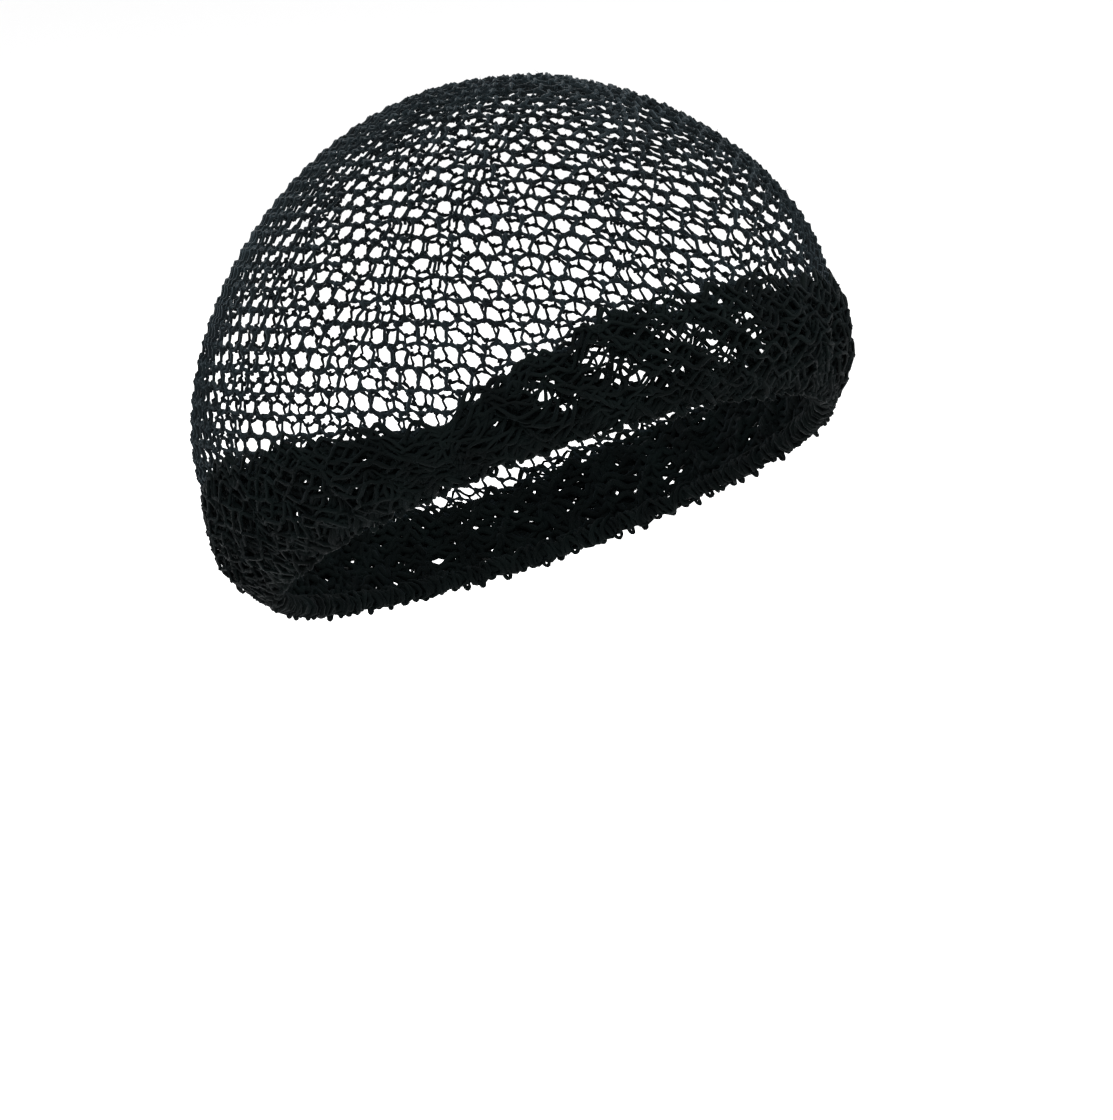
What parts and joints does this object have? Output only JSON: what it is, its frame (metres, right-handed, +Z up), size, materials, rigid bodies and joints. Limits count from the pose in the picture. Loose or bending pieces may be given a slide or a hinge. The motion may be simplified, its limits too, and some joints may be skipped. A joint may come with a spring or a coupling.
{
  "type": "mesh hair cap",
  "caption": "Full, rounded openwork cap for the hair: a coarse netted crown over a bunched, gathered border that an elastic edge draws in round the head.",
  "frame": {"origin": "the middle of the mouth, in the plane of the elastic edge's lower side, where the head goes in", "axes": "as worn: +Z up, -Y to the front over the forehead, +Y to the back of the head, +X to the wearer's left. The mouth's plane leans back by 28 degrees, so its front is the high side"},
  "size_m": [0.1988, 0.2368, 0.1878],
  "materials": {
    "net_yarn": "near-black soft yarn, knotted into an open six-sided net, with a faint cold sheen",
    "gathered_yarn": "the same near-black yarn, bunched in layers, so that little light comes through",
    "elastic_yarn": "near-black yarn worked closely over an elastic cord, with small picots"
  },
  "bodies": {
    "root": {"crown_net": "net_yarn", "gathered_border": "gathered_yarn", "elastic_edge": "elastic_yarn"}
  },
  "joints": []
}
